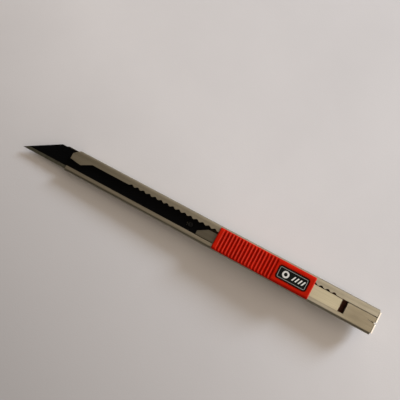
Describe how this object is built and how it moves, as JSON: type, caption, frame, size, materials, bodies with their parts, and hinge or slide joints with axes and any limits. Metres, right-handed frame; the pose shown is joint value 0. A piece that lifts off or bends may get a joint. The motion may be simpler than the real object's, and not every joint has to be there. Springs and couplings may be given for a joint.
{
  "type": "snap off knife",
  "caption": "Slim steel channel knife with a ribbed thumb slide, a wavy locking lip, a pointed black snap-off blade and a folded pocket clip at its tail.",
  "frame": {"origin": "middle of the channel's flat outer wall on the blade's spine side, half way along the channel and half way up it", "axes": "+X along the channel towards the blade's tip, +Y towards the cutting edge, +Z out of the open side of the channel, where the thumb slide is"},
  "size_m": [0.1659, 0.0109, 0.012],
  "materials": {
    "channel_steel": "satin stainless sheet",
    "clip_steel": "satin stainless sheet",
    "carrier_steel": "bright rolled sheet",
    "stud_steel": "turned and blackened",
    "blade_black": "black oxide with a ground bevel",
    "slide_red": "moulded semi-gloss",
    "label_black": "gloss",
    "spring_steel": "rolled spring strip",
    "rivet_steel": "plain"
  },
  "bodies": {
    "body": {"body_channel": "channel_steel"},
    "slider": {"blade_carrier": "carrier_steel", "blade_stud": "stud_steel", "blade": "blade_black", "thumb_slide": "slide_red", "label_plate": "label_black", "slide_rivet_rear": "rivet_steel", "slide_rivet_front": "rivet_steel"},
    "lock_spring": {"lock_spring": "spring_steel"},
    "tail_clip": {"tail_clip": "clip_steel"}
  },
  "joints": [
    {"name": "slider_travel", "type": "slide", "parent": "body", "child": "slider", "axis": [1, 0, 0], "range_m": [-0.01427, 0.06281]},
    {"name": "lock_release", "type": "hinge", "parent": "slider", "child": "lock_spring", "pos_m": [-0.0103, 0.0049, 0.00225], "axis": [0, 0, 1], "range_deg": [0, 1.5]},
    {"name": "clip_pull", "type": "slide", "parent": "body", "child": "tail_clip", "axis": [-1, 0, 0], "range_m": [0, 0.0115]}
  ]
}
